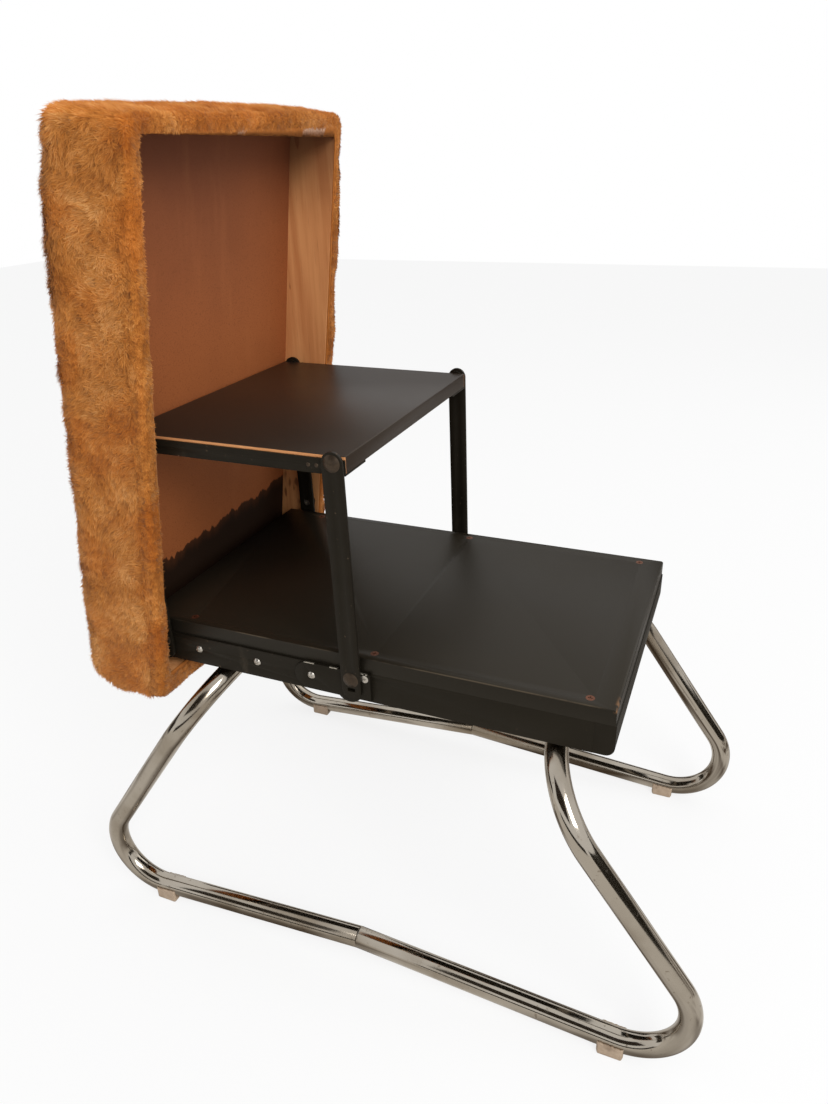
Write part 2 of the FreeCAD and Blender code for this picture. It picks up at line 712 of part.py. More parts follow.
panel = body("seat_panel", seat_place)
box_outer = "(box_half_width + box_wall)"
block(panel, x=(f"-{box_outer}", f"2 * {box_outer}"), y=("box_back", "panel_thickness"),
      z=("-box_low - box_wall", box_length))
node(panel, "seat_panel")

# Upholstery: a crowned foam pad on the panel and a plush cover over pad, walls and rim.
outer_half = size["box_half_width"] + size["box_wall"]
outer_low = -size["box_low"] - size["box_wall"]
outer_high = size["box_high"] + size["box_wall"]
panel_back = size["box_back"] + size["panel_thickness"]


def cushion_ring(insets, depth, corner):
    """A rounded rectangle across the box at a depth, its sides bowed and drawn in towards the corners.

    The insets are those of its sides, its low end and its high end."""
    half = outer_half - insets[0]
    low = outer_low + insets[1]
    high = outer_high - insets[2]
    bow = size["cushion_bow"]
    turned = corner * (1 - math.sqrt(0.5))
    stops = [
        (half - corner, low), (half - turned, low + turned), (half, low + corner),
        (half + bow, (low + high) / 2), (half, high - corner), (half - turned, high - turned),
        (half - corner, high), (0, high + bow), (corner - half, high), (turned - half, high - turned),
        (-half, high - corner), (-half - bow, (low + high) / 2), (-half, low + corner),
        (turned - half, low + turned), (corner - half, low), (0, low - bow),
    ]
    points = [FreeCAD.Vector(x, depth, z) for x, z in stops]
    points.append(points[0])
    arcs = [Part.Arc(*points[n:n + 3]).toShape() for n in range(0, len(points) - 1, 2)]
    return Part.Wire(arcs)


def crowned(insets, front_rings, crown_height):
    """A solid from its front rings to the shoulder, then domed like an ellipse to its crown."""
    rings = [cushion_ring([start + inset for start in insets], depth, corner)
             for inset, depth, corner in front_rings]
    reaches = (size["crown_reach"], size["crown_reach"], size["crown_reach_top"])
    steps = 6
    for n in range(steps + 1):
        angle = math.pi / 2 * n / (steps + 0.6)
        share = 1 - math.cos(angle)
        corner = size["shoulder_corner"] + share * (size["crown_corner"] - size["shoulder_corner"])
        rings.append(cushion_ring([start + share * reach for start, reach in zip(insets, reaches)],
                                  foam_shoulder + crown_height * math.sin(angle), corner))
    return Part.makeLoft(rings, True, True)


foam_shoulder = panel_back + size["foam_edge"]
foam_rise = size["foam_crown"] - size["foam_edge"]
foam_front = [(0, panel_back, size["rim_corner"])]
foam_insets = [size["foam_inset"]] * 3
foam_space = crowned(foam_insets, foam_front, foam_rise)
shy_insets = [inset + size["soft_gap"] for inset in foam_insets]
foam_solid = crowned(shy_insets, foam_front, foam_rise - size["soft_gap"])

rim_face = -size["box_rim"] - size["plush_rim"]
rim_round = 0.4 * size["plush_round"]
cover_front = [(rim_round, rim_face, size["rim_corner"]), (0, rim_face + rim_round, size["rim_corner"])]
cover_insets = [-size["plush_side"], -size["plush_bottom"], -size["plush_top"]]
cover_solid = crowned(cover_insets, cover_front, foam_rise + size["plush_back"])
wood_space = Part.makeBox(2 * outer_half, panel_back + size["box_rim"], outer_high - outer_low,
                          FreeCAD.Vector(-outer_half, -size["box_rim"], outer_low))
mouth_depth = size["box_rim"] + 2 * size["plush_rim"]
mouth = Part.makeBox(2 * size["box_half_width"], mouth_depth, size["box_high"] + size["box_low"],
                     FreeCAD.Vector(-size["box_half_width"], -mouth_depth, -size["box_low"]))

foam = doc.addObject("Part::Feature", "seat_foam")
foam.Shape = foam_solid
foam.Placement = seat_place
node(foam, "seat_foam")
cover = doc.addObject("Part::Feature", "plush_cover")
cover.Shape = cover_solid.cut(wood_space).cut(mouth).cut(foam_space)
cover.Placement = seat_place
node(cover, "plush_cover")

doc.recompute()
for thing in doc.Objects:
    if "Invalid" in thing.State or "Error" in thing.State:
        sys.exit(f"{thing.Label} failed to build")
for thing in nodes:
    if thing.Shape.isNull() or not thing.Shape.isValid():
        sys.exit(f"{thing.Label} has a bad shape")
os.makedirs("parts", exist_ok=True)
for thing in nodes:
    thing.Shape.exportStep(f"parts/{thing.Label}.step")

whole = Part.makeCompound([thing.Shape for thing in nodes]).BoundBox
extent = [whole.XMin, whole.XMax, whole.YMin, whole.YMax, whole.ZMin, whole.ZMax]
print(f"{len(nodes)} sub-parts in a box of", [round(value, 1) for value in extent])
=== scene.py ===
# Folding step stool chair, standing open as steps. Metres, +Z up, -Y to the side that is climbed from.
import bmesh
import bpy
import itertools
import math
import numpy as np
from mathutils import Matrix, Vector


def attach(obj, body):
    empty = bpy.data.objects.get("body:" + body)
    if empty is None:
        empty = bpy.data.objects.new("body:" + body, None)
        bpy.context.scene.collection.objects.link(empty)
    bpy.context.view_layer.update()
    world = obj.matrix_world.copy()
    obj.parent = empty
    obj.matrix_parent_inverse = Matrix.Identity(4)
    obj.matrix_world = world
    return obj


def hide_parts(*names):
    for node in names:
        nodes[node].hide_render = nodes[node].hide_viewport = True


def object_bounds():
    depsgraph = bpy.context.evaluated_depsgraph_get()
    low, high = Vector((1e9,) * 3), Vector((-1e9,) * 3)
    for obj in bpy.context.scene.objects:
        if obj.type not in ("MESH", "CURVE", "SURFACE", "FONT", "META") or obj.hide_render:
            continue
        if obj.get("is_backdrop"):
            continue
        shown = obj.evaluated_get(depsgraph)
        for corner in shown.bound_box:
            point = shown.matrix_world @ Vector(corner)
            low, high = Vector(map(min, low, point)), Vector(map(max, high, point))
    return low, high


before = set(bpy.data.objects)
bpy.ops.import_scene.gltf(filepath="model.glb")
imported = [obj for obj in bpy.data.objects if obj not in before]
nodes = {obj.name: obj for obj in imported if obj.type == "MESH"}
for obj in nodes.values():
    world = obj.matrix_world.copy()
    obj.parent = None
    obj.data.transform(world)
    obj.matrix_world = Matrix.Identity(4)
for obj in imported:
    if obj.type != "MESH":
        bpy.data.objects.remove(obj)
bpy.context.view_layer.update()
scene = bpy.context.scene
print("frame loaded", len(nodes), "nodes")


# shader maths: a wire is one output of a node, and + - * on it add Math nodes
class Wire:
    def __init__(self, tree, socket=None):
        self.tree = tree
        self.socket = socket

    # any other node: its type, its settings, then the values or links of its sockets
    def node(self, kind, settings, values, take=0):
        made = self.tree.nodes.new(kind)
        for name, value in settings.items():
            if name == "stops":
                stops = made.color_ramp.elements
                while len(stops) < len(value):
                    stops.new(1)
                for stop, (place, color) in zip(stops, value):
                    stop.position = place
                    stop.color = color
            else:
                setattr(made, name, value)
        for name, value in values.items():
            if isinstance(value, Wire):
                self.tree.links.new(value.socket, made.inputs[name])
            else:
                made.inputs[name].default_value = value
        return Wire(self.tree, made.outputs[take] if len(made.outputs) else None)

    def math(self, operation, *terms):
        return self.node("ShaderNodeMath", {"operation": operation}, dict(enumerate(terms)))

    def __add__(self, other):
        return self.math("ADD", self, other)

    def __sub__(self, other):
        return self.math("SUBTRACT", self, other)

    def __rsub__(self, other):
        return self.math("SUBTRACT", other, self)

    def __mul__(self, other):
        return self.math("MULTIPLY", self, other)

    __radd__ = __add__
    __rmul__ = __mul__


# a screen colour, 0 to 255, as the linear one that a shader takes
def paint(red, green, blue):
    shares = np.array([red, green, blue]) / 255
    linear = np.where(shares < 0.04045, shares / 12.92, ((shares + 0.055) / 1.055) ** 2.4)
    return (*[float(value) for value in linear], 1.0)


def blend(share, first, second):
    return share.node("ShaderNodeMix", {"data_type": "RGBA"}, {0: share, 6: first, 7: second}, 2)


# 0 below low, 1 above high, eased between
def step(wire, low, high):
    values = {"Value": wire, "From Min": low, "From Max": high}
    return wire.node("ShaderNodeMapRange", {"interpolation_type": "SMOOTHSTEP"}, values)


def noise(place, scale, detail=3.0, stretch=(1, 1, 1), rough=0.55, shift=(0, 0, 0)):
    spot = place.node("ShaderNodeMapping", {}, {"Vector": place, "Scale": stretch, "Location": shift})
    values = {"Vector": spot, "Scale": scale, "Detail": detail, "Roughness": rough}
    return place.node("ShaderNodeTexNoise", {}, values)


def axes(place):
    return [place.node("ShaderNodeSeparateXYZ", {}, {"Vector": place}, letter) for letter in "XYZ"]


def attribute(place, name):
    return place.node("ShaderNodeAttribute", {"attribute_name": name}, {}, "Fac")


def bump(height, strength, distance):
    values = {"Height": height, "Strength": strength, "Distance": distance}
    return height.node("ShaderNodeBump", {}, values)


# a material's or world's own nodes taken away, and a wire to begin new ones with
def emptied(block):
    block.use_nodes = True
    block.node_tree.nodes.clear()
    return Wire(block.node_tree)


# one finish: its varying values from a function of place, its steady ones as they are given
def finish(name, build, **steady):
    made = bpy.data.materials.new(name)
    start = emptied(made)
    place = start.node("ShaderNodeTexCoord", {}, {}, "Object")
    shader = start.node("ShaderNodeBsdfPrincipled", {}, {**steady, **build(place)})
    start.node("ShaderNodeOutputMaterial", {}, {"Surface": shader})
    return made


# noise from -1 to 1: random values at the eight corners of each point's lattice cell, blended by shares
# that are eased, so that the noise has no creases
def lumps(points, grain, seed):
    table = np.random.default_rng(seed).random((32, 32, 32))
    cell = points / grain
    low = np.floor(cell).astype(int)
    part = cell - low
    part = part * part * (3 - 2 * part)
    total = np.zeros(len(points))
    for corner in itertools.product((0, 1), repeat=3):
        share = np.prod(np.where(corner, part, 1 - part), axis=1)
        spot = (low + corner) % 32
        total += share * table[spot[:, 0], spot[:, 1], spot[:, 2]]
    return total * 2 - 1


# the nearest of one random spot per lattice cell: the way to it, and a number that belongs to it
def tufts(points, grain, seed):
    table = np.random.default_rng(seed).random((32, 32, 32, 4))
    cell = np.floor(points / grain).astype(int)
    nearest = np.full(len(points), np.inf)
    way = np.zeros_like(points)
    tone = np.zeros(len(points))
    for shift in itertools.product((-1, 0, 1), repeat=3):
        there = cell + shift
        spot = there % 32
        drawn = table[spot[:, 0], spot[:, 1], spot[:, 2]]
        toward = (there + drawn[:, :3]) * grain - points
        distance = np.linalg.norm(toward, axis=1)
        closer = distance < nearest
        nearest = np.where(closer, distance, nearest)
        way = np.where(closer[:, None], toward, way)
        tone = np.where(closer, drawn[:, 3], tone)
    return way, tone


def unit(vectors):
    return vectors / np.maximum(np.linalg.norm(vectors, axis=-1, keepdims=True), 1e-9)


def ease(values, low, high):
    share = np.clip((values - low) / (high - low), 0, 1)
    return share * share * (3 - 2 * share)


def meshOf(name, points, faces):
    mesh = bpy.data.meshes.new(name)
    corners = faces.shape[1]
    mesh.vertices.add(len(points))
    mesh.vertices.foreach_set("co", points.astype(np.float32).ravel())
    mesh.loops.add(faces.size)
    mesh.loops.foreach_set("vertex_index", faces.astype(np.int32).ravel())
    mesh.polygons.add(len(faces))
    mesh.polygons.foreach_set("loop_start", np.arange(len(faces), dtype=np.int32) * corners)
    mesh.polygons.foreach_set("use_smooth", np.ones(len(faces), bool))
    mesh.update(calc_edges=True)
    mesh.validate()
    return mesh


def piece(name, mesh, material, body):
    mesh.materials.append(material)
    made = bpy.data.objects.new(name, mesh)
    scene.collection.objects.link(made)
    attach(made, body)
    return made


# quads between rows of points whose columns close on themselves
def tubeFaces(rows, columns):
    row, column = np.meshgrid(np.arange(rows - 1), np.arange(columns), indexing="ij")
    beside = (column + 1) % columns
    corners = (row * columns + column, row * columns + beside,
               (row + 1) * columns + beside, (row + 1) * columns + column)
    return np.stack(corners, -1).reshape(-1, 4)


# rings of points joined by quads, with a ring drawn to the middle of each end as its lid
def closedTube(rings):
    middles = rings.mean(1, keepdims=True)
    drawnIn = middles + (rings - middles) * 0.02
    rings = np.concatenate([drawnIn[:1], rings, drawnIn[-1:]])
    rows, columns = rings.shape[:2]
    faces = tubeFaces(rows, columns)
    half = np.arange(columns // 2 - 1)
    lid = np.stack([half, columns - 1 - half, columns - 2 - half, half + 1], -1)
    lids = [lid, lid[:, ::-1] + (rows - 1) * columns]
    return rings.reshape(-1, 3), np.concatenate([faces, *lids])


# chrome with hazy patches and small dull spots
def chromeFinish(place):
    haze = step(noise(place, 9, 4), 0.42, 0.72)
    spots = step(noise(place, 170, 3, shift=(2, 2, 2)), 0.64, 0.72)
    color = blend(haze, paint(174, 166, 154), paint(134, 122, 106))
    color = blend(spots * 0.5, color, paint(104, 88, 70))
    return {"Base Color": color, "Roughness": 0.1 + 0.1 * haze + 0.12 * spots,
            "Normal": bump(noise(place, 16, 2), 0.1, 0.0008)}


# pale plastic, greyed by grime
def footFinish(place):
    cloud = noise(place, 160, 4)
    grime = step(noise(place, 60, 5, shift=(3, 1, 2)), 0.5, 0.75)
    color = blend(cloud, paint(184, 164, 142), paint(156, 134, 112))
    return {"Base Color": blend(grime * 0.5, color, paint(104, 84, 66)), "Roughness": 0.42 + 0.2 * cloud,
            "Normal": bump(cloud, 0.3, 0.0005)}


laminate = {"halfWidth": 0.150, "front": 0.2296, "top": 0.3629, "stepTop": 0.5622, "stepSide": 0.151}


# dark laminate: a fine pebble grain, smudges that dull it, short scratches, and edges worn brown in places
def laminateFinish(place):
    smudge = noise(place, 7, 5, shift=(2, 5, 1))
    pebble = noise(place, 900, 2)
    scratch = step(noise(place, 30, 6, (1, 14, 1), 0.7), 0.66, 0.72) * 0.3
    color = blend(smudge, paint(24, 20, 14), paint(37, 32, 24))
    x, y, z = axes(place)
    half = laminate["halfWidth"]
    front = laminate["front"]
    top = laminate["top"]
    side = step(x.math("ABSOLUTE", x), half - 0.0012, half - 0.0002)
    face = step(0 - y, front - 0.0012, front - 0.0002)
    edge = side * step(z, top - 0.0012, top - 0.0005)
    color = blend(side.math("MAXIMUM", side, face) * 0.9, color, paint(21, 18, 13))
    wear = edge * step(noise(place, 60, 4, (1, 0.3, 1)), 0.38, 0.6)
    color = blend(scratch, color, paint(74, 66, 56))
    color = blend(wear * 0.6, color, paint(88, 76, 60))
    nose = step(0 - y, front - 0.004, front - 0.001) * step(z, top - 0.004, top)
    chip = nose * (1 - step(x, -half + 0.004, -half + 0.026)) * step(noise(place, 150, 4), 0.42, 0.55)
    color = blend(chip, color, paint(118, 84, 56))
    return {"Base Color": color, "Roughness": 0.34 + 0.16 * smudge + 0.1 * scratch,
            "Normal": bump(pebble, 0.12, 0.0003)}


# the upper step's board: the same laminate, redder, with raw wood above its side angles
def stepFinish(place):
    smudge = noise(place, 7, 5, shift=(7, 5, 4))
    pebble = noise(place, 900, 2)
    x, y, z = axes(place)
    edge = laminate["stepSide"]
    top = laminate["stepTop"]
    side = step(x.math("ABSOLUTE", x), edge - 0.0006, edge - 0.0003)
    strands = noise(place, 500, 3, (1, 0.12, 1))
    color = blend(smudge, paint(30, 22, 17), paint(46, 35, 27))
    rawWood = blend(strands, paint(226, 162, 108), paint(158, 98, 56))
    color = blend(side * (1 - step(z, top - 0.0007, top - 0.0004)), color, rawWood)
    return {"Base Color": color, "Roughness": 0.32 + 0.16 * smudge + 0.3 * side,
            "Normal": bump(pebble, 0.12, 0.0003)}


# black painted wood with faint brush lines along its length
def railFinish(place):
    brush = noise(place, 120, 3, (0.12, 0.12, 1.6))
    cloud = noise(place, 12, 4)
    worn = step(noise(place, 60, 6, shift=(4, 4, 9)), 0.68, 0.76)
    color = blend(cloud, paint(23, 20, 15), paint(32, 28, 21))
    return {"Base Color": blend(worn * 0.4, color, paint(78, 64, 50)), "Roughness": 0.42 + 0.14 * brush,
            "Normal": bump(brush, 0.25, 0.0004)}


# black painted steel, chipped in spots
def steelFinish(place):
    cloud = noise(place, 40, 4)
    chip = step(noise(place, 210, 5, shift=(1, 8, 3)), 0.67, 0.73)
    scuff = step(noise(place, 26, 5, (1, 1, 0.3), 0.7), 0.6, 0.75)
    color = blend(cloud, paint(20, 17, 12), paint(29, 25, 19))
    color = blend(scuff * 0.4, color, paint(66, 58, 48))
    color = blend(chip * 0.5, color, paint(112, 94, 78))
    return {"Base Color": color, "Roughness": 0.36 + 0.15 * cloud + 0.1 * scuff,
            "Metallic": 0.1 + 0.5 * chip, "Normal": bump(noise(place, 700, 2), 0.12, 0.0003)}


bracket = {"top": 0.3474, "spots": 105}


# the pivot bracket: a row of bright bare-metal chips on its top edge, which also stand in as painted glints
def bracketFinish(place):
    cloud = noise(place, 40, 4)
    onTop = step(axes(place)[2], bracket["top"] - 0.0009, bracket["top"] - 0.0004)
    glintChips = noise(place, bracket["spots"], 2, (0.2, 1, 0.2), shift=(0, 0.013, 0))
    # painted glints: bright spots along the top edge, partly real chipped paint
    chip = onTop * step(glintChips, 0.52, 0.56)
    color = blend(cloud, paint(19, 17, 12), paint(28, 24, 18))
    color = blend(chip, color, paint(214, 206, 190))
    return {"Base Color": color, "Roughness": 0.4 + 0.12 * cloud - 0.2 * chip,
            "Metallic": 0.1 + 0.8 * chip, "Normal": bump(noise(place, 700, 2), 0.12, 0.0003)}


# the small metal parts: two colours mixed by one cloud, which also dulls and raises the surface
metals = {
    "rivetSteel": {"from": (44, 36, 29), "to": (84, 70, 56), "grain": 300, "rough": 0.26,
                   "metallic": (0.7, 0.2), "bump": (0.3, 0.0003)},
    "zincScrew": {"from": (212, 208, 200), "to": (160, 152, 142), "grain": 500, "rough": 0.2,
                  "metallic": (0.92, 0.08), "bump": (0.2, 0.0002)},
    "brownScrew": {"from": (128, 82, 60), "to": (84, 52, 38), "grain": 500, "rough": 0.32,
                   "metallic": (0.7, 0.2), "bump": (0.2, 0.0002)},
}


def metalFinish(metal):
    def build(place):
        cloud = noise(place, metal["grain"], 3)
        least, more = metal["metallic"]
        return {"Base Color": blend(cloud, paint(*metal["from"]), paint(*metal["to"])),
                "Roughness": metal["rough"] + 0.2 * cloud, "Metallic": least + more * cloud,
                "Normal": bump(cloud, *metal["bump"])}
    return build


def sheetSteelFinish(place):
    cloud = noise(place, 60, 4)
    color = blend(cloud, paint(150, 150, 148), paint(112, 110, 106))
    return {"Base Color": color, "Roughness": 0.35 + 0.2 * cloud, "Metallic": 0.9 + 0.1 * cloud,
            "Normal": bump(noise(place, 300, 2, (1, 0.1, 1)), 0.15, 0.0003)}


# varnished plywood with its grain up the box: pores, stains, a few nicks, and painted shade darkening its top
def plywoodFinish(place):
    grain = noise(place, 70, 5, (1, 1, 0.06), 0.6)
    pore = step(noise(place, 420, 3, (1, 1, 0.05)), 0.6, 0.72)
    cloud = noise(place, 6, 4, shift=(2, 2, 2))
    nick = step(noise(place, 34, 3, (1, 1, 0.35), 0.5, (5, 1, 7)), 0.68, 0.71)
    # painted shade: darker towards the top of the box, where its top wall shades it
    paintedTopShade = step(axes(place)[2] + 0.05 * (cloud - 0.5), 0.71, 0.83)
    color = blend(step(grain, 0.3, 0.7), paint(222, 160, 104), paint(192, 126, 76))
    color = blend(cloud * 0.4, color, paint(164, 100, 58))
    color = blend(paintedTopShade * 0.8, color, paint(78, 46, 28))
    color = blend(pore * 0.25, color, paint(126, 76, 44))
    color = blend(nick * 0.7, color, paint(104, 58, 32))
    return {"Base Color": color, "Roughness": 0.5 + 0.15 * grain, "Normal": bump(grain, 0.15, 0.0005)}


band = {"floor": 0.3629, "near": 0.027, "far": 0.041, "halfWidth": 0.163}


# brown hardboard, speckled, with painted shade darkening its top, and a ragged dark band just above the lower
# step
def hardboardFinish(place):
    x, _, z = axes(place)
    fleck = noise(place, 700, 3)
    cloud = noise(place, 5, 4, shift=(1, 3, 6))
    streak = noise(place, 26, 4, (1, 1, 0.12))
    color = blend(cloud, paint(164, 94, 50), paint(134, 74, 40))
    # painted shade: darker towards the top, where the box's top wall shades it
    paintedTopShade = step(z + 0.06 * (cloud - 0.5), 0.60, 0.84)
    color = blend(paintedTopShade * 0.75, color, paint(84, 44, 28))
    color = blend(step(fleck, 0.5, 0.7) * 0.4, color, paint(96, 52, 28))
    color = blend(step(streak, 0.5, 0.7) * 0.1, color, paint(184, 116, 70))
    half = band["halfWidth"]
    edge = band["floor"] + band["near"] + (x + half) * ((band["far"] - band["near"]) / (2 * half))
    brush = 0.034 * (noise(place, 62, 4, (1, 1, 0.07), 0.6) - 0.5) + 0.016 * (noise(place, 15, 2) - 0.5)
    below = edge + brush - z
    dark = step(below, -0.0008, 0.0012)
    thin = step(below, 0.0, 0.016)
    color = blend(dark * (0.86 + 0.12 * thin), color, paint(26, 17, 10))
    return {"Base Color": color, "Roughness": 0.62 + 0.15 * fleck - 0.1 * dark,
            "Normal": bump(fleck, 0.2, 0.0003)}


# woven backing under the pile, pale where the pile is gone
def backingFinish(place):
    clump = noise(place, 90, 4)
    weave = noise(place, 700, 2)
    color = blend(clump, paint(150, 88, 38), paint(178, 110, 54))
    bare = blend(step(weave, 0.42, 0.6), paint(206, 172, 150), paint(150, 116, 94))
    color = blend(attribute(place, "bald"), color, bare)
    return {"Base Color": color, "Roughness": 0.85 + 0.1 * clump, "Normal": bump(clump, 0.8, 0.003)}


pileTones = {
    "golden": ((0.0, (142, 80, 30)), (0.35, (180, 111, 46)), (0.65, (203, 135, 68)), (1.0, (230, 172, 106))),
    "ruddy": ((0.0, (138, 71, 22)), (0.35, (172, 97, 34)), (0.65, (193, 116, 48)), (1.0, (218, 150, 80))),
}


# pile: its colour from the tone and painted shade written on each blade: painted shade deep at its roots, at
# its tufts' edges and on the rim, painted light golden at its tips, redder in broad patches
def pileFinish(place):
    shade = attribute(place, "shade")
    patch = step(noise(place, 17, 3), 0.4, 0.62)
    ramps = []
    for tones in pileTones.values():
        stops = [(spot, paint(*tone)) for spot, tone in tones]
        ramps.append(shade.node("ShaderNodeValToRGB", {"stops": stops}, {"Fac": shade}))
    return {"Base Color": blend(patch, *ramps), "Roughness": 0.8 + 0.1 * shade}


warmGloss = {"Specular Tint": (1.0, 0.9, 0.74, 1.0)}
chrome = finish("chromeTube", chromeFinish, Metallic=1.0)
footPlastic = finish("footPlastic", footFinish, **{"Specular IOR Level": 0.3})
blackLaminate = finish("blackLaminate", laminateFinish, **{"Specular IOR Level": 0.26}, **warmGloss)
stepLaminate = finish("stepLaminate", stepFinish, **{"Specular IOR Level": 0.28}, **warmGloss)
blackWood = finish("blackWood", railFinish, **{"Specular IOR Level": 0.12}, **warmGloss)
blackSteel = finish("blackSteel", steelFinish, **{"Specular IOR Level": 0.16}, **warmGloss)
bracketSteel = finish("bracketSteel", bracketFinish, **{"Specular IOR Level": 0.16}, **warmGloss)
rivetSteel, zinc, brownScrew = [finish(name, metalFinish(metal)) for name, metal in metals.items()]
sheetSteel = finish("sheetSteel", sheetSteelFinish)
plywood = finish("plywood", plywoodFinish, **{"Specular IOR Level": 0.2})
hardboard = finish("hardboard", hardboardFinish, **{"Specular IOR Level": 0.15})
backing = finish("plushBacking", backingFinish, **{"Specular IOR Level": 0.05})
softSheen = {"Sheen Weight": 0.12, "Sheen Roughness": 0.45, "Sheen Tint": (1.0, 0.78, 0.5, 1.0)}
fibre = finish("plushFibre", pileFinish, **{"Specular IOR Level": 0.08}, **softSheen)
print("materials ready")

# the frame's own nodes take a detailed finish each
dressing = {
    "base_board": blackLaminate, "step_board": stepLaminate,
    "side_rail": blackWood, "front_rail": blackWood, "rear_rail": blackWood,
    "front_cross_rail": blackWood, "rear_cross_rail": blackWood,
    "foot_": footPlastic, "runner_joint_plugs": sheetSteel, "tube_saddles": sheetSteel, "saddle_screws": zinc,
    "strip_screws": zinc, "link_screws": zinc, "board_screws": brownScrew, "step_screws": rivetSteel,
    "base_front_rivets": rivetSteel, "base_rear_rivets": rivetSteel,
    "step_front_rivets": rivetSteel, "step_rear_rivets": rivetSteel,
    "side_strip": blackSteel, "pivot_bracket": bracketSteel, "step_angle": blackSteel,
    "front_link": blackSteel, "rear_link": blackSteel, "link_spacers": blackSteel,
    "box_wall": plywood, "seat_panel": hardboard,
}
for name, thing in nodes.items():
    for start, material in dressing.items():
        if name.startswith(start):
            thing.data.materials.clear()
            thing.data.materials.append(material)

# boards and steel get eased edges that catch the light: a merged copy of each node with a narrow bevel
edges = {
    "base_board": 0.0004, "step_board": 0.0004, "side_rail_left": 0.0002, "side_rail_right": 0.0002,
    "front_rail": 0.0002, "side_strip_left": 0.0005, "side_strip_right": 0.0005,
    "pivot_bracket_left": 0.0004, "pivot_bracket_right": 0.0004,
    "step_angle_left": 0.0004, "step_angle_right": 0.0004,
    "front_link_left": 0.0006, "front_link_right": 0.0006, "rear_link_left": 0.0006, "rear_link_right": 0.0006,
}
rides = {"step": ("step_board", "step_angle_left", "step_angle_right"),
         "front_link_left": ("front_link_left",), "front_link_right": ("front_link_right",),
         "seat": ("rear_link_left", "rear_link_right")}


def eased(name, width):
    merged = bmesh.new()
    merged.from_mesh(nodes[name].data)
    bmesh.ops.remove_doubles(merged, verts=merged.verts, dist=0.000002)
    bmesh.ops.dissolve_limit(merged, angle_limit=math.radians(0.5), verts=merged.verts, edges=merged.edges)
    mesh = bpy.data.meshes.new(name + "Eased")
    merged.to_mesh(mesh)
    merged.free()
    mesh.polygons.foreach_set("use_smooth", np.ones(len(mesh.polygons), bool))
    body = next((body for body, names in rides.items() if name in names), "root")
    made = piece(name + "Eased", mesh, nodes[name].data.materials[0], body)
    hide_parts(name)
    bevel = made.modifiers.new("round", "BEVEL")
    bevel.width = width
    bevel.segments = 2
    bevel.limit_method = "ANGLE"
    bevel.angle_limit = math.radians(35)
    bevel.harden_normals = True


for name, width in edges.items():
    eased(name, width)
print("edges eased")

# bent chrome tubes: a ring carried along straight runs and tangent arcs
tubes = {
    "radius": 0.011, "span": 0.192, "joint": 0.0107, "cornerHeight": 0.0042, "rise": 0.0289,
    "topHeight": 0.3029,
    "front": {"reach": 0.3886, "top": 0.1756, "bend": 0.060, "sign": -1},
    "rear": {"reach": 0.3838, "top": 0.1734, "bend": 0.0557, "sign": 1},
    "topBend": 0.080, "sides": 56, "arcSteps": 40, "jointChamfer": 0.00003,
}


# each corner becomes an arc of its radius that touches both its runs
def bentPath(corners, radii):
    path = [corners[:1]]
    for before, corner, after, radius in zip(corners, corners[1:], corners[2:], radii):
        back = unit(before - corner)
        ahead = unit(after - corner)
        half = math.acos(float(back @ ahead)) / 2
        middle = corner + unit(back + ahead) * radius / math.sin(half)
        start = corner + back * radius / math.tan(half)
        sweep = np.linspace(0, math.pi - 2 * half, tubes["arcSteps"])[:, None]
        path.append(middle + radius * (np.cos(sweep) * unit(start - middle) - np.sin(sweep) * back))
    path.append(corners[-1:])
    return np.concatenate(path)


# rings square to the path: each ring's first direction is the one before it, less its part along the path
def carried(path, radii, sides):
    along = np.gradient(path, axis=0)
    steps = np.diff(path, axis=0)
    along[1:-1] = unit(steps[1:]) + unit(steps[:-1])
    along = unit(along)
    across = np.zeros_like(path)
    across[0] = unit(np.cross(along[0], (0.3, 0.1, 0.9)))
    for n in range(1, len(path)):
        across[n] = unit(across[n - 1] - along[n] * (across[n - 1] @ along[n]))
    other = np.cross(along, across)
    turn = np.linspace(0, 2 * math.pi, sides, endpoint=False)
    ring = np.cos(turn)[None, :, None] * across[:, None] + np.sin(turn)[None, :, None] * other[:, None]
    return path[:, None] + radii[:, None, None] * ring


tubePaths = {}
for end in ("front", "rear"):
    shape = tubes[end]
    corners = []
    for side in (-1, 1):
        x = side * tubes["span"]
        corners.append([
            (x, tubes["joint"], tubes["cornerHeight"] + tubes["rise"]),
            (x, shape["sign"] * shape["reach"], tubes["cornerHeight"]),
            (x, shape["sign"] * shape["top"], tubes["topHeight"]),
        ])
    corners = np.array(corners[0] + corners[1][::-1])
    path = bentPath(corners, [shape["bend"], tubes["topBend"], tubes["topBend"], shape["bend"]])
    tubePaths[end] = path
    lead = unit(path[1] - path[0]) * tubes["jointChamfer"]
    tail = unit(path[-2] - path[-1]) * tubes["jointChamfer"]
    path = np.concatenate([path[:1], path[:1] + lead, path[1:-1], path[-1:] + tail, path[-1:]])
    radii = np.full(len(path), tubes["radius"])
    radii[[0, -1]] -= tubes["jointChamfer"]
    points, faces = closedTube(carried(path, radii, tubes["sides"]))
    made = piece(f"{end}BentTube", meshOf(f"{end}BentTube", points, faces), chrome, "root")
    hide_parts(f"{end}_leg_tube")
print("tubes bent")

# feet: clips under the runners, their section a rounded block below and the tube's arc above
feet = {
    "length": 0.0255, "width": 0.026, "round": 0.0026, "grip": 0.01106, "lip": 0.0021, "tooth": 0.0007,
    "places": {"front": -0.2596, "rear": 0.2604}, "stations": 41, "across": 60,
    "flatShare": 0.40, "bendShare": 0.15, "endShare": 0.40,
}


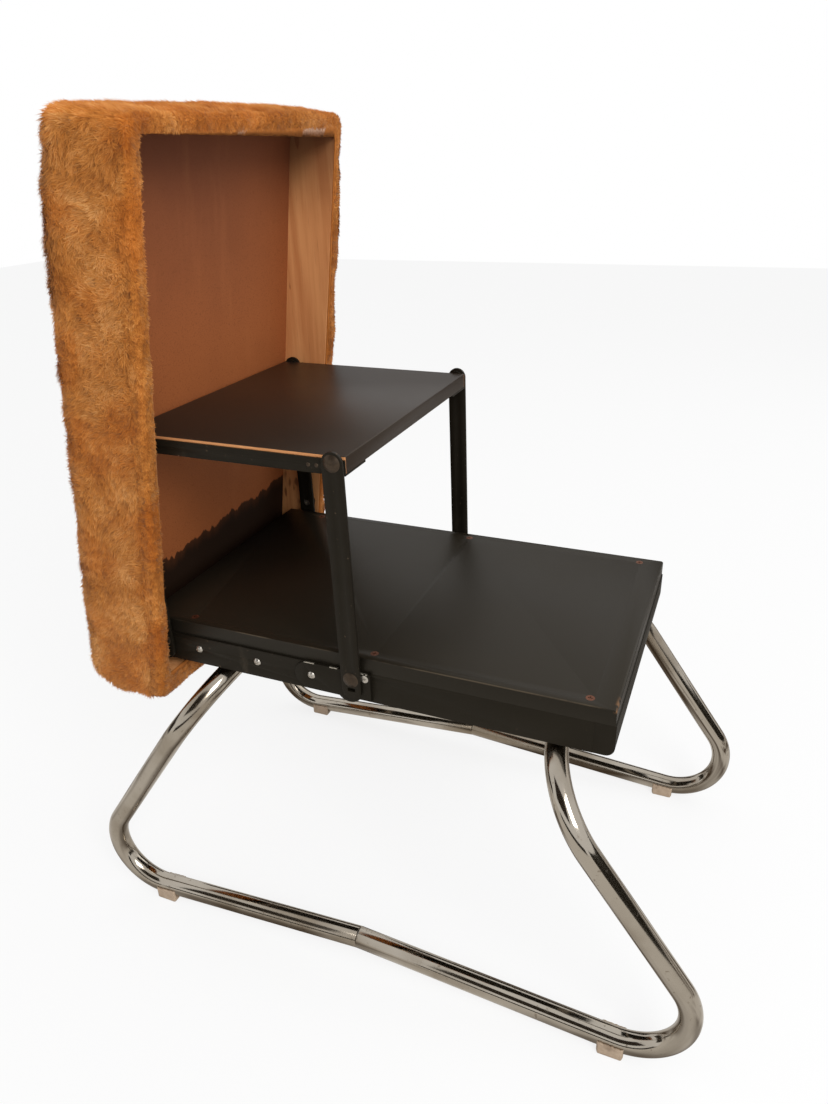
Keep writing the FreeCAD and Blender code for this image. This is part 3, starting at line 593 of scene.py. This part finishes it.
def clip(end, side):
    path = tubePaths[end]
    path = path[:np.argmax(np.abs(path[:len(path) // 2, 1]))]
    order = np.argsort(path[:, 1])
    along = np.linspace(-0.5, 0.5, feet["stations"])
    y = feet["places"][end] + along * feet["length"]
    axisHeight = np.interp(y, path[order, 1], path[order, 2])
    turn = np.linspace(-1, 1, feet["across"])
    rounding = ease(np.abs(along), feet["endShare"], 0.5)
    shrink = feet["round"] * (1 - np.sqrt(1 - 0.98 * rounding ** 2))
    half = feet["width"] / 2 - shrink
    spots = np.stack([y, np.full_like(y, side), np.zeros_like(y)], -1)
    lip = axisHeight + feet["lip"] + feet["tooth"] * lumps(spots, 0.0022, 7)
    # outer line: down one side, round its corner, across the floor and up the other side
    corner = feet["round"]
    far = np.abs(turn)
    bendEnd = feet["flatShare"] + feet["bendShare"]
    flat = np.clip(far / feet["flatShare"], 0, 1)
    bend = np.clip((far - feet["flatShare"]) / feet["bendShare"], 0, 1) * math.pi / 2
    wall = np.clip((far - bendEnd) / (1 - bendEnd), 0, 1)
    outX = np.sign(turn) * (flat * (half - corner)[:, None] + np.sin(bend) * corner)
    outZ = shrink[:, None] + corner * (1 - np.cos(bend)) + wall * (lip - corner - shrink)[:, None]
    # inner line: the tube's arc from lip to lip
    reach = np.arcsin(np.clip((lip - axisHeight) / feet["grip"], -0.9, 0.9)) + math.pi / 2
    angle = turn[None] * reach[:, None]
    inX = np.sin(angle) * feet["grip"]
    inZ = axisHeight[:, None] - np.cos(angle) * feet["grip"]
    x = side * tubes["span"]
    outer = np.stack([x + outX, np.broadcast_to(y[:, None], outX.shape), outZ], -1)
    inner = np.stack([x + inX, np.broadcast_to(y[:, None], inX.shape), inZ], -1)
    loop = np.concatenate([outer, inner[:, ::-1]], 1)
    rows, columns = loop.shape[:2]
    faces = tubeFaces(rows, columns)
    near = np.arange(feet["across"] - 1)
    cap = np.stack([near, columns - 1 - near, columns - 2 - near, near + 1], -1)
    faces = np.concatenate([faces[:, ::-1], cap[:, ::-1], cap + (rows - 1) * columns])
    return loop.reshape(-1, 3), faces


for end in ("front", "rear"):
    for side, hand in (("left", -1), ("right", 1)):
        points, faces = clip(end, hand)
        name = f"{end}{side.capitalize()}Foot"
        made = piece(name, meshOf(name, points, faces), footPlastic, "root")
        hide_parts(f"foot_{end}_{side}")
print("feet clipped")

# the plush cover, in the seat box's own directions: x across, y to its padded back, z up the box
box = {
    "pivot": (0, 0.2354, 0.3398), "lean": 7.5, "half": 0.171, "low": -0.0455, "high": 0.482,
    "wall": 0.008, "rim": -0.008, "panelBack": 0.052,
}
cover = {
    "side": 0.0074, "top": 0.0055, "bottom": 0.0170, "rimDepth": -0.0100, "shoulder": 0.0766, "crown": 0.0150,
    "reach": 0.052, "reachTop": 0.085, "rimCorner": 0.013, "shoulderCorner": 0.015, "crownCorner": 0.040,
    "rimRound": 0.005, "bow": 0.002, "farRise": 0.0095, "belly": 0.0100, "thin": 0.0090, "around": 420,
    "lump": 0.0020, "lumpGrain": 0.045, "tuft": 0.0012, "tuftGrain": 0.013, "play": 0.0003,
    "crownTurn": math.pi / 2 * 0.92,
    "bald": ((0.118, 0.4800, 0.027, 0.0035), (-0.020, 0.4790, 0.005, 0.0030)),
}
lean = math.radians(box["lean"])
boxTurn = np.array([[1, 0, 0], [0, math.cos(lean), -math.sin(lean)], [0, math.sin(lean), math.cos(lean)]])


def placed(points):
    return points @ boxTurn.T + np.array(box["pivot"])


# rounded rectangles, one per row: a smaller rectangle's outline plus a corner radius turned once round it
def rounded(half, low, high, corner):
    long = (high - low) / 2 - corner
    wide = half - corner
    turns = np.array([0, 0, 0.5, 0.5, 1, 1, 1.5, 1.5, 2]) * math.pi
    signX = np.array([1, 1, 1, -1, -1, -1, -1, 1, 1])
    signZ = np.array([-1, 1, 1, 1, 1, -1, -1, -1, -1])
    lengths = np.array([2.0 * long.mean(), 0.03, 2.0 * wide.mean(), 0.03] * 2)
    knots = np.concatenate([[0], np.cumsum(lengths) / lengths.sum()])
    along = np.linspace(0, 1, cover["around"], endpoint=False)
    turn = np.interp(along, knots, turns)[None]
    coreX = np.interp(along, knots, signX)[None] * wide[:, None]
    coreZ = np.interp(along, knots, signZ)[None] * long[:, None]
    x = coreX + np.cos(turn) * (corner[:, None] + cover["bow"] * (1 - (coreZ / 0.28) ** 2))
    z = coreZ + np.sin(turn) * corner[:, None] + ((high + low) / 2)[:, None]
    return x, z


# rows of the cover from the middle of its back: an elliptic dome, the side walls, a rounded rim, and the
# inside that lies on the wood. Each is (out past the sides, the low end and the high end, depth, corner)
def coverRows():
    rows = []
    thick = np.array([cover["side"], cover["bottom"], cover["top"]])
    reach = np.array([cover["reach"], cover["reach"] * 0.8, cover["reachTop"]])
    for angle in np.linspace(cover["crownTurn"], 0, 18):
        drawn = 1 - math.cos(angle)
        corner = cover["shoulderCorner"] + drawn * (cover["crownCorner"] - cover["shoulderCorner"])
        rows.append((*(thick - drawn * reach), cover["shoulder"] + cover["crown"] * math.sin(angle), corner))
    front = cover["rimDepth"] + cover["rimRound"]
    for depth in np.linspace(cover["shoulder"], front, 26)[1:]:
        share = (cover["shoulder"] - depth) / (cover["shoulder"] - front)
        corner = cover["shoulderCorner"] + share * (cover["rimCorner"] - cover["shoulderCorner"])
        rows.append((*thick, depth, corner))
    for angle in np.linspace(0, math.pi / 2, 8)[1:]:
        drawn = cover["rimRound"] * (1 - math.cos(angle))
        rows.append((*(thick - drawn), front - cover["rimRound"] * math.sin(angle), cover["rimCorner"]))
    for share in np.linspace(0, 1, 7)[1:]:
        out = (thick - cover["rimRound"]) * (1 - share) - box["wall"] * share
        corner = cover["rimCorner"] * (1 - share) + 0.004 * share
        rows.append((*out, cover["rimDepth"] + 0.0008 * share ** 3, corner))
    outside = len(rows)
    play = cover["play"]
    front = box["rim"] - play
    back = box["panelBack"] + play
    for out, depth in ((-box["wall"], front), (play, front), (play, back), (-0.05, back)):
        rows.append((out, out, out, depth, 0.004))
    return np.array(rows), outside


# the skin and, inside its first row, a dome that falls off with the square of the way from the middle
def coverSurface():
    rows, outside = coverRows()
    x, z = rounded(box["half"] + rows[:, 0], box["low"] - rows[:, 1], box["high"] + rows[:, 2], rows[:, 4])
    depth = np.repeat(rows[:, 3:4], cover["around"], 1)
    skin = np.stack([x, depth, z], -1)
    middle = np.array([0, 0, (box["low"] + box["high"]) / 2])
    shares = np.linspace(0.012, 1, 42)[:-1, None, None]
    dome = middle + (skin[0] - middle) * shares
    lift = cover["crown"] * (1 - math.sin(cover["crownTurn"]))
    dome[..., 1] = skin[0, :, 1] + lift * (1 - shares[..., 0] ** 2)
    return np.concatenate([dome, skin]), len(dome) + outside, len(dome)


# the far end of the top sits higher, the low end sags between its edges, the padding is thinner at the top
def settled(skin):
    share = (skin[..., 0] + box["half"]) / (2 * box["half"])
    rise = cover["farRise"] * share * ease(skin[..., 2], box["high"] - 0.05, box["high"] - 0.002)
    sag = cover["belly"] * np.exp(-((skin[..., 1] - 0.044) / 0.024) ** 2)
    skin = skin.copy()
    skin[..., 2] += rise - sag * ease(-skin[..., 2], -box["low"] - 0.012, -box["low"])
    thin = cover["thin"] * ease(skin[..., 2], box["high"] - 0.075, box["high"] - 0.020)
    skin[..., 1] -= thin * ease(skin[..., 1], 0.02, cover["shoulder"])
    return skin


swelling = {"voxel": 0.006, "pressure": 0.7, "frames": 16, "cap": 0.0045, "heldUpTo": 0.055, "freeRows": 14}


# cloth under air pressure swells the padded back of a remeshed copy; no vertex moves further than the cap
def swollen(skin):
    points, faces = closedTube(skin)
    core = bpy.data.objects.new("cushionCore", meshOf("cushionCore", points, faces))
    scene.collection.objects.link(core)
    remesh = core.modifiers.new("remesh", "REMESH")
    remesh.mode = "VOXEL"
    remesh.voxel_size = swelling["voxel"]
    mesh = bpy.data.meshes.new_from_object(core.evaluated_get(bpy.context.evaluated_depsgraph_get()))
    core.modifiers.clear()
    core.data = mesh
    rest = np.empty(len(mesh.vertices) * 3, np.float32)
    mesh.vertices.foreach_get("co", rest)
    rest = rest.reshape(-1, 3)
    held = core.vertex_groups.new(name="held")
    held.add(np.flatnonzero(rest[:, 1] < swelling["heldUpTo"]).tolist(), 1.0, "REPLACE")
    cloth = core.modifiers.new("swell", "CLOTH")
    cloth.settings.quality = 5
    cloth.settings.use_pressure = True
    cloth.settings.uniform_pressure_force = swelling["pressure"]
    cloth.settings.effector_weights.gravity = 0
    cloth.settings.vertex_group_mass = "held"
    cloth.point_cache.frame_end = swelling["frames"]
    for number in range(1, swelling["frames"] + 1):
        scene.frame_set(number)
    swelled = core.evaluated_get(bpy.context.evaluated_depsgraph_get())
    moved = np.empty(len(rest) * 3, np.float32)
    swelled.data.vertices.foreach_get("co", moved)
    way = moved.reshape(-1, 3) - rest
    long = np.linalg.norm(way, axis=1, keepdims=True)
    way *= np.minimum(1, swelling["cap"] / np.maximum(long, 1e-9))
    core.modifiers.clear()
    scene.frame_set(1)
    core.data.vertices.foreach_set("co", (rest + way).ravel())
    core.data.update()
    print("cushion swollen", len(rest), "points, most", round(float(long.max()), 4))
    # the fine skin is laid on the swollen core, wholly at the back and not at all at the rim
    fine = bpy.data.objects.new("fineSkin", meshOf("fineSkin", points, faces))
    scene.collection.objects.link(fine)
    laid = fine.modifiers.new("lay", "SHRINKWRAP")
    laid.target = core
    laid.wrap_method = "NEAREST_SURFACEPOINT"
    wrapped = fine.evaluated_get(bpy.context.evaluated_depsgraph_get())
    after = np.empty(len(points) * 3, np.float32)
    wrapped.data.vertices.foreach_get("co", after)
    columns = skin.shape[1]
    after = after.reshape(-1, 3)[columns:-columns].reshape(skin.shape)
    for helper in (fine, core):
        bpy.data.objects.remove(helper)
    share = ease(skin[..., 1:2], box["panelBack"] - 0.01, cover["shoulder"])
    return skin * (1 - share) + after * share


surface, outerRows, domeRows = coverSurface()
surface[:outerRows] = settled(surface[:outerRows])
free = slice(outerRows - swelling["freeRows"])
surface[free] = swollen(surface[free])
rows, columns = surface.shape[:2]
flat = surface.reshape(-1, 3)
onward = np.gradient(surface, axis=0)
ahead = np.roll(surface, -1, 1) - np.roll(surface, 1, 1)
outward = unit(np.cross(ahead, onward))
if outward[domeRows + 30, 0, 0] < 0:
    outward = -outward
swell = cover["lump"] * lumps(flat, cover["lumpGrain"], 3) + cover["tuft"] * lumps(flat, cover["tuftGrain"], 4)
swell = swell.reshape(rows, columns, 1)
swell[outerRows - 3:] = 0
surface = surface + outward * swell

# bald spots on the rim: ellipses with a ragged edge
onRim = surface[..., 1] < cover["rimDepth"] + 0.006
ragged = 0.3 * lumps(flat, 0.004, 5).reshape(rows, columns)
bald = np.zeros((rows, columns))
for x, z, wide, high in cover["bald"]:
    spot = ((surface[..., 0] - x) / wide) ** 2 + ((surface[..., 2] - z) / high) ** 2
    bald = np.maximum(bald, (1 - ease(spot + ragged, 0.8, 1.15)) * onRim)
points, faces = closedTube(surface)
points = placed(points)
plush = piece("plushCushion", meshOf("plushCushion", points, faces), backing, "seat")
baldness = np.concatenate([bald[:1], bald, bald[-1:]]).ravel().astype(np.float32)
plush.data.attributes.new("bald", "FLOAT", "POINT").data.foreach_set("value", baldness)
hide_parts("plush_cover", "seat_foam")
print("cushion laid", len(points))

# pile: thin tapering blades that lean over and draw together into small tufts
pile = {
    "length": 0.0088, "width": 0.0008, "tuftGrain": 0.0065, "combGrain": 0.035, "rise": 0.30, "lie": 0.84,
    "gather": 0.25, "chunk": 60000, "shoulderRow": 12, "rimRows": 16,
    "back": {"density": 700000, "comb": (0, 0, -0.7), "length": 1.0, "tone": 0.0},
    "sides": {"density": 1300000, "comb": (0, 0.35, -0.6), "length": 1.0, "tone": 0.0},
    # the rim's negative tone is painted shade
    "rim": {"density": 1600000, "comb": (0, 0.2, -0.4), "length": 0.5, "tone": -0.14},
}


# spots spread evenly over the quads of some rows, each between its quad's four corners
def sownRoots(first, last, density, seed):
    rng = np.random.default_rng(seed)
    corner = surface[first:last]
    right = np.roll(corner, -1, 1)
    up = surface[first + 1:last + 1]
    area = np.linalg.norm(np.cross(right - corner, up - corner), axis=-1)
    count = int(area.sum() * density)
    row, column = np.divmod(rng.choice(area.size, count, p=(area / area.sum()).ravel()), columns)
    row = row + first
    beside = (column + 1) % columns
    share = rng.random((count, 2, 1))
    near = surface[row, column] * (1 - share[:, 0]) + surface[row, beside] * share[:, 0]
    far = surface[row + 1, column] * (1 - share[:, 0]) + surface[row + 1, beside] * share[:, 0]
    kept = rng.random(count) > bald[row, column] * 1.2
    roots = near * (1 - share[:, 1]) + far * share[:, 1]
    return roots[kept], outward[row, column][kept], rng


# a blade is two corners at its root, two at its middle and its tip. It rises by a little and lies over by
# more: its comb direction plus smooth and random noise, laid flat on the surface, its tip drawn to its tuft
def sow(name, settings, first, last, seed):
    roots, lift, rng = sownRoots(first, last, settings["density"], seed)
    count = len(roots)
    way, tone = tufts(roots, pile["tuftGrain"], seed)
    far = np.linalg.norm(way, axis=1) / pile["tuftGrain"]
    swirl = np.stack([lumps(roots, pile["combGrain"], seed + n) for n in (4, 5, 6)], -1)
    curl = np.stack([lumps(roots, pile["tuftGrain"] * 1.6, seed + n) for n in (1, 2, 3)], -1)
    lie = np.array(settings["comb"]) + 0.6 * swirl + 0.6 * curl + 0.25 * rng.normal(size=(count, 3))
    # on the top the pile lies toward the back
    lie[:, 1] += 1.4 * ease(lift[:, 2], 0.5, 0.9)
    lie = unit(lie - lift * np.sum(lie * lift, -1, keepdims=True))
    gather = way - lift * np.sum(way * lift, -1, keepdims=True)
    uneven = 0.78 + 0.25 * lumps(roots, 0.02, seed + 7) + 0.3 * rng.random(count)
    long = (pile["length"] * settings["length"] * uneven)[:, None]
    wide = np.cross(lift, lie) * pile["width"] / 2
    rise = pile["rise"] * (0.6 + 1.3 * rng.random((count, 1)) ** 2)
    middle = roots + long * (lift * rise * 0.62 + lie * pile["lie"] * 0.4) + gather * pile["gather"] * 0.4
    tip = roots + long * (lift * rise + lie * pile["lie"]) + gather * pile["gather"]
    blades = np.stack([roots - wide, roots + wide, middle - wide * 0.85, middle + wide * 0.85, tip], 1)
    # painted shade: roots, tuft edges (far from their middles) and the rim darker; painted light: tips lighter;
    # the rest is random tone per tuft, in patches and per blade
    shade = 0.48 - 0.3 * (far - 0.45) + 0.2 * (tone - 0.5) + 0.22 * lumps(roots, 0.022, seed + 8)
    shade = shade + settings["tone"] + 0.1 * rng.normal(size=count)
    tonesAndPaintedShades = np.clip(shade[:, None] + np.array([-0.2, -0.2, 0.0, 0.0, 0.2]), 0, 1)
    normals = lift + 0.25 * lie + 0.35 * gather / pile["tuftGrain"] + 0.12 * rng.normal(size=(count, 3))
    normals[:, 1] -= 0.9 * ease(lift[:, 2], 0.5, 0.9)
    normals = unit(normals)
    parts = max(1, math.ceil(count / pile["chunk"]))
    bySide = np.argsort(roots[:, 0], kind="stable")
    for number, chosen in enumerate(np.array_split(bySide, parts), start=1):
        index = np.arange(len(chosen))[:, None] * 5
        faces = np.concatenate([index + corner for corner in ((0, 3, 1), (0, 2, 3), (2, 4, 3))])
        mesh = meshOf(f"{name}{number}", placed(blades[chosen].reshape(-1, 3)), faces)
        mesh.normals_split_custom_set_from_vertices(np.repeat(normals[chosen] @ boxTurn.T, 5, axis=0))
        tones = mesh.attributes.new("shade", "FLOAT", "POINT")
        tones.data.foreach_set("value", tonesAndPaintedShades[chosen].ravel().astype(np.float32))
        made = piece(f"{name}{number}", mesh, fibre, "seat")
        made.visible_shadow = False
    print(name, count, "blades")


shoulderRow = domeRows + pile["shoulderRow"]
rimRow = outerRows - pile["rimRows"]
sow("pileBack", pile["back"], 0, shoulderRow, 21)
sow("pileSides", pile["sides"], shoulderRow, rimRow, 41)
sow("pileRim", pile["rim"], rimRow, outerRows - 2, 61)


# studio: the camera's, gloss's and glass's share of rays, which see floor and world white
def whiteShare(start):
    kinds = ("Camera", "Glossy", "Transmission")
    rays = [start.node("ShaderNodeLightPath", {}, {}, f"Is {kind} Ray") for kind in kinds]
    return start.math("MINIMUM", rays[0] + rays[1] + rays[2], 1.0)


# a flat stage piece; one that only gloss sees is hidden from every other kind of ray
def stagePiece(name, corners, material, glossOnly):
    mesh = meshOf(name, corners, np.array([[0, 1, 2, 3]]))
    mesh.materials.append(material)
    made = bpy.data.objects.new(name, mesh)
    scene.collection.objects.link(made)
    if glossOnly:
        made.visible_camera = made.visible_diffuse = False
        made.visible_shadow = made.visible_transmission = False
    made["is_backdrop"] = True


floorMaterial = bpy.data.materials.new("studioFloor")
start = emptied(floorMaterial)
plain = start.node("ShaderNodeBsdfDiffuse", {}, {"Color": (0.86, 0.86, 0.86, 1)})
white = start.node("ShaderNodeEmission", {}, {"Color": (1, 1, 1, 1), "Strength": 1.0})
mixed = start.node("ShaderNodeMixShader", {}, {0: whiteShare(start) * 0.8, 1: plain, 2: white})
start.node("ShaderNodeOutputMaterial", {}, {"Surface": mixed})
floorCorners = np.array([(-6, -6, 0), (6, -6, 0), (6, 6, 0), (-6, 6, 0)], float)
stagePiece("studioFloor", floorCorners, floorMaterial, False)

scene.world = bpy.data.worlds.new("studio")
start = emptied(scene.world)
strength = 0.74 + 0.26 * whiteShare(start)
sky = start.node("ShaderNodeBackground", {}, {"Color": (1, 1, 1, 1), "Strength": strength})
start.node("ShaderNodeOutputWorld", {}, {"Surface": sky})

lamps = {
    "key": {"at": (-1.6, -1.7, 2.1), "aim": (0, 0.15, 0.5), "size": 1.3, "power": 50},
    "fill": {"at": (1.8, -1.4, 1.6), "aim": (0, 0.1, 0.45), "size": 1.8, "power": 8},
}


# a pose at one place that looks back along its own z axis to another
def facing(at, aim):
    back = unit(np.array(at) - np.array(aim))
    right = unit(np.cross((0, 0, 1), back))
    turn = np.stack([right, np.cross(back, right), back], 1)
    return Matrix([[*turn[n], at[n]] for n in range(3)] + [[0, 0, 0, 1]])


for name, lamp in lamps.items():
    light = bpy.data.lights.new(name, "AREA")
    light.size = lamp["size"]
    light.energy = lamp["power"]
    made = bpy.data.objects.new(name, light)
    made.matrix_world = facing(lamp["at"], lamp["aim"])
    scene.collection.objects.link(made)


# dark cards that only gloss sees give the chrome its streaks
cards = {
    "overhead": {"at": (-1.5, 0.35, 1.35), "aim": (0, 0, 0.2), "size": (1.7, 1.1),
                 "color": (0.045, 0.036, 0.028)},
    "front": {"at": (-0.2, -2.0, 0.22), "aim": (0, 0, 0.15), "size": (2.6, 0.42), "color": (0.03, 0.026, 0.02)},
    "left": {"at": (-1.9, 0.0, 0.16), "aim": (0, 0, 0.15), "size": (2.8, 0.3), "color": (0.03, 0.026, 0.02)},
    "right": {"at": (1.9, 0.1, 0.5), "aim": (0, 0, 0.3), "size": (2.4, 0.8), "color": (0.05, 0.042, 0.034)},
    "rear": {"at": (0.1, 2.0, 0.3), "aim": (0, 0, 0.2), "size": (2.4, 0.5), "color": (0.04, 0.034, 0.026)},
}


def glowing(name, colorOf):
    made = bpy.data.materials.new(name)
    start = emptied(made)
    glow = start.node("ShaderNodeEmission", {}, {"Color": colorOf(start), "Strength": 1.0})
    start.node("ShaderNodeOutputMaterial", {}, {"Surface": glow})
    return made


for name, card in cards.items():
    wide, high = np.array(card["size"]) / 2
    corners = np.array([(-wide, -high, 0, 1), (wide, -high, 0, 1), (wide, high, 0, 1), (-wide, high, 0, 1)])
    corners = (corners @ np.array(facing(card["at"], card["aim"])).T)[:, :3]
    stagePiece(name + "Card", corners, glowing(name + "Card", lambda start: (*card["color"], 1)), True)


# a floor that only gloss sees, pale with warm grey patches under and behind the stool
def glossFloorColor(start):
    place = start.node("ShaderNodeTexCoord", {}, {}, "Object")
    patches = step(noise(place, 3.4, 3), 0.42, 0.6) * step(axes(place)[0], -0.4, -0.16)
    return blend(patches, paint(236, 232, 226), paint(92, 78, 64))


stagePiece("glossFloor", floorCorners + (0, 0, 0.0005), glowing("glossFloor", glossFloorColor), True)

view = {
    "at": (-0.7326, -0.2964, 0.7874), "right": (0.3804, -0.9245, -0.0263), "up": (0.4101, 0.1431, 0.9008),
    "forward": (0.8290, 0.3534, -0.4335), "lens": 26.79, "sensor": 36,
}
cameraData = bpy.data.cameras.new("photoView")
cameraData.sensor_fit = "VERTICAL"
cameraData.sensor_height = view["sensor"]
cameraData.lens = view["lens"]
camera = bpy.data.objects.new("photoView", cameraData)
turn = np.stack([view["right"], view["up"], -np.array(view["forward"])], 1)
camera.matrix_world = Matrix([[*turn[n], view["at"][n]] for n in range(3)] + [[0, 0, 0, 1]])
scene.collection.objects.link(camera)
scene.camera = camera
scene.view_settings.view_transform = "Standard"
print("studio set")

low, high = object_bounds()
